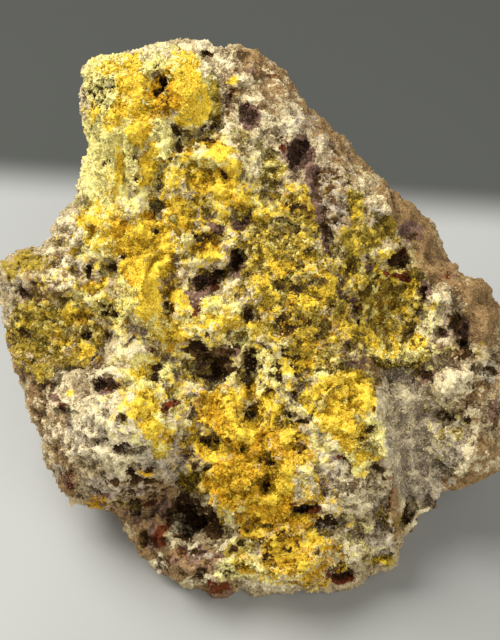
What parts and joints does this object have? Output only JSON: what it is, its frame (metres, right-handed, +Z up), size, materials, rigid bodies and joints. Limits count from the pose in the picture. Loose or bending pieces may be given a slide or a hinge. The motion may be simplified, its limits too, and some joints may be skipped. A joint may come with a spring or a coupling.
{
  "type": "parsonsite and pyromorphite specimen",
  "caption": "Rough mineral lump of iron-stained matrix with raised granular yellow crusts, standing on a flat break.",
  "frame": {"origin": "middle of the footprint, on the flat break that the specimen rests on", "axes": "+Z up, +X to the right across the crusted face, which looks along -Y and upwards"},
  "size_m": [0.0918, 0.0724, 0.0799],
  "materials": {
    "matrix": "rough, matt, iron-stained rock",
    "crown_crust": "matt granular yellow crust",
    "shoulder_crust": "matt granular yellow crust",
    "flank_crust": "matt granular yellow crust",
    "heart_crust": "matt granular yellow crust",
    "hollow_crust": "matt granular yellow crust",
    "ledge_crust": "matt granular yellow crust",
    "sponge_crust": "matt granular yellow crust",
    "foot_crust": "matt granular yellow crust"
  },
  "bodies": {
    "root": {"matrix": "matrix", "crown_crust": "crown_crust", "shoulder_crust": "shoulder_crust", "flank_crust": "flank_crust", "heart_crust": "heart_crust", "hollow_crust": "hollow_crust", "ledge_crust": "ledge_crust", "sponge_crust": "sponge_crust", "foot_crust": "foot_crust"}
  },
  "joints": []
}
